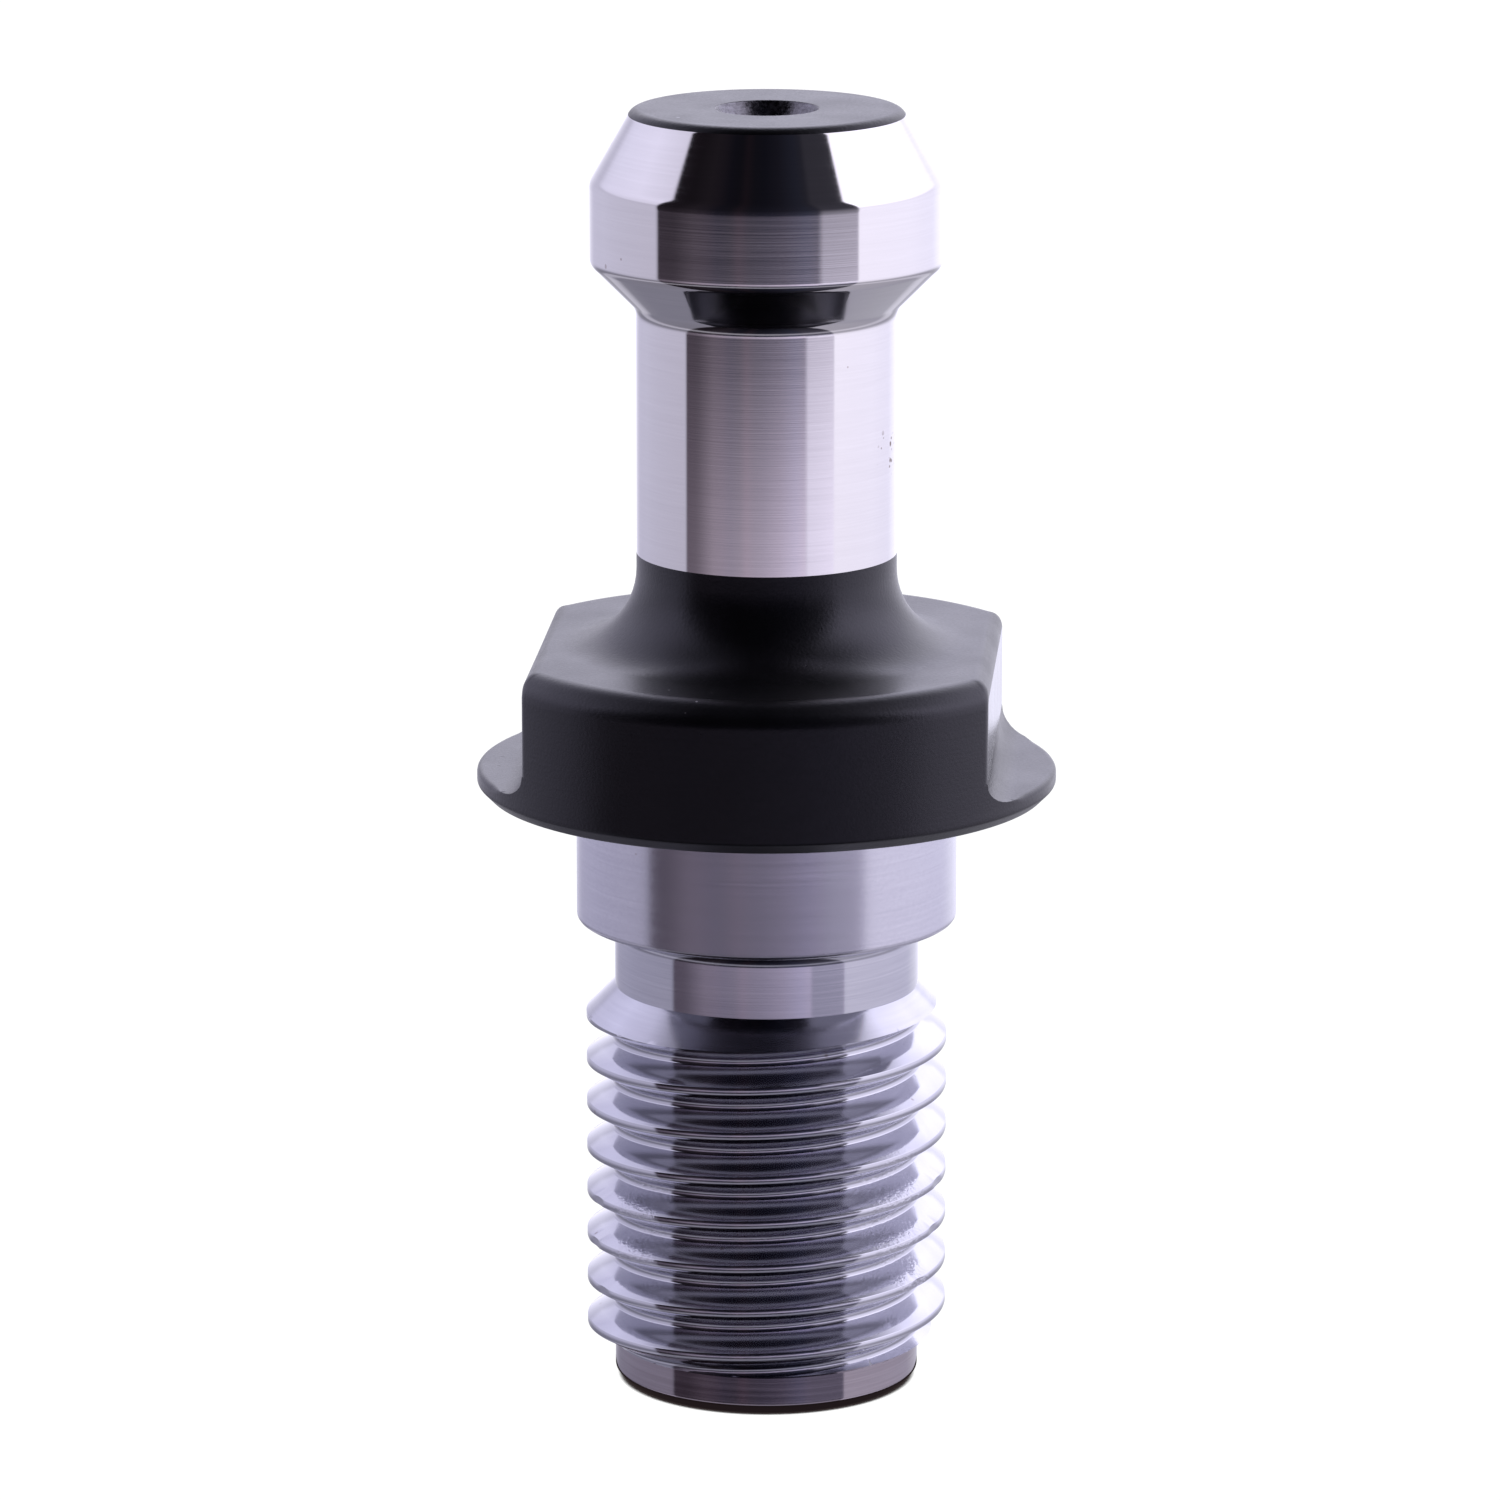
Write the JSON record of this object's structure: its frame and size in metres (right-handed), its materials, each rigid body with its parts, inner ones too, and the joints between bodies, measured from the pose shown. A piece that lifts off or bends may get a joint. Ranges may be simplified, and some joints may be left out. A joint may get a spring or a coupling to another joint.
{
  "type": "pull stud",
  "caption": "Pull stud for a steep-taper tool holder: conical gripped head on a neck, flange with two wrench flats, locating pilot and coarse threaded end.",
  "frame": {"origin": "on the axis, in the plane of the flange's seat face, where the locating pilot begins", "axes": "+Z along the axis towards the gripped head; the two wrench flats face +X and -X"},
  "size_m": [0.038, 0.038, 0.085],
  "materials": {
    "ground_and_blackened_steel": "one piece of hardened alloy steel: black oxide on the flange, the neck fillet, the top disc and inside the centres; ground bright on the neck, the head and the pilot; turned bright on the relief, the thread and the end"
  },
  "bodies": {
    "root": {"pull_stud": "ground_and_blackened_steel"}
  },
  "joints": []
}
